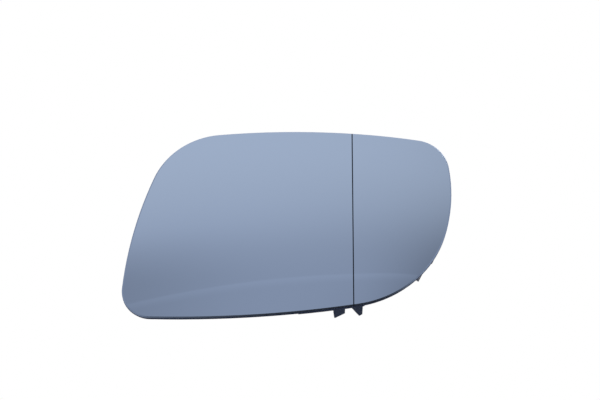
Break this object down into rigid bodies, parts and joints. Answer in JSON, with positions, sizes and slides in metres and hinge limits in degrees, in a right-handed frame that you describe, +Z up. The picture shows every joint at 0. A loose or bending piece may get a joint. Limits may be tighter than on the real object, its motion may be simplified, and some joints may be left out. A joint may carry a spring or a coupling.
{
  "type": "car door mirror glass",
  "caption": "Convex tinted door mirror glass with an aspheric outer zone, bonded by a heating film to a backing plate with a clip ring and guide forks.",
  "frame": {"origin": "middle of the clip ring, halfway along the land that its claws grip with", "axes": "+X outboard, +Y from the driver's side of the glass back to the adjuster along the clip ring's axis, +Z up as fitted on the car"},
  "size_m": [0.1805, 0.0215, 0.1109],
  "materials": {
    "tinted_mirror": "blue tinted front mirror on glass with a ground edge",
    "heating_film": "self-adhesive polyester film, satin",
    "moulded_plastic": "black moulded plastic, fine grain",
    "terminal_brass": "tinned brass strip, stamped",
    "rivet_brass": "bare brass, upset"
  },
  "bodies": {
    "root": {"mirror_glass": "tinted_mirror", "heater_pad": "heating_film", "backing_plate": "moulded_plastic", "upper_terminal": "terminal_brass", "lower_terminal": "terminal_brass", "terminal_rivets": "rivet_brass"}
  },
  "joints": []
}
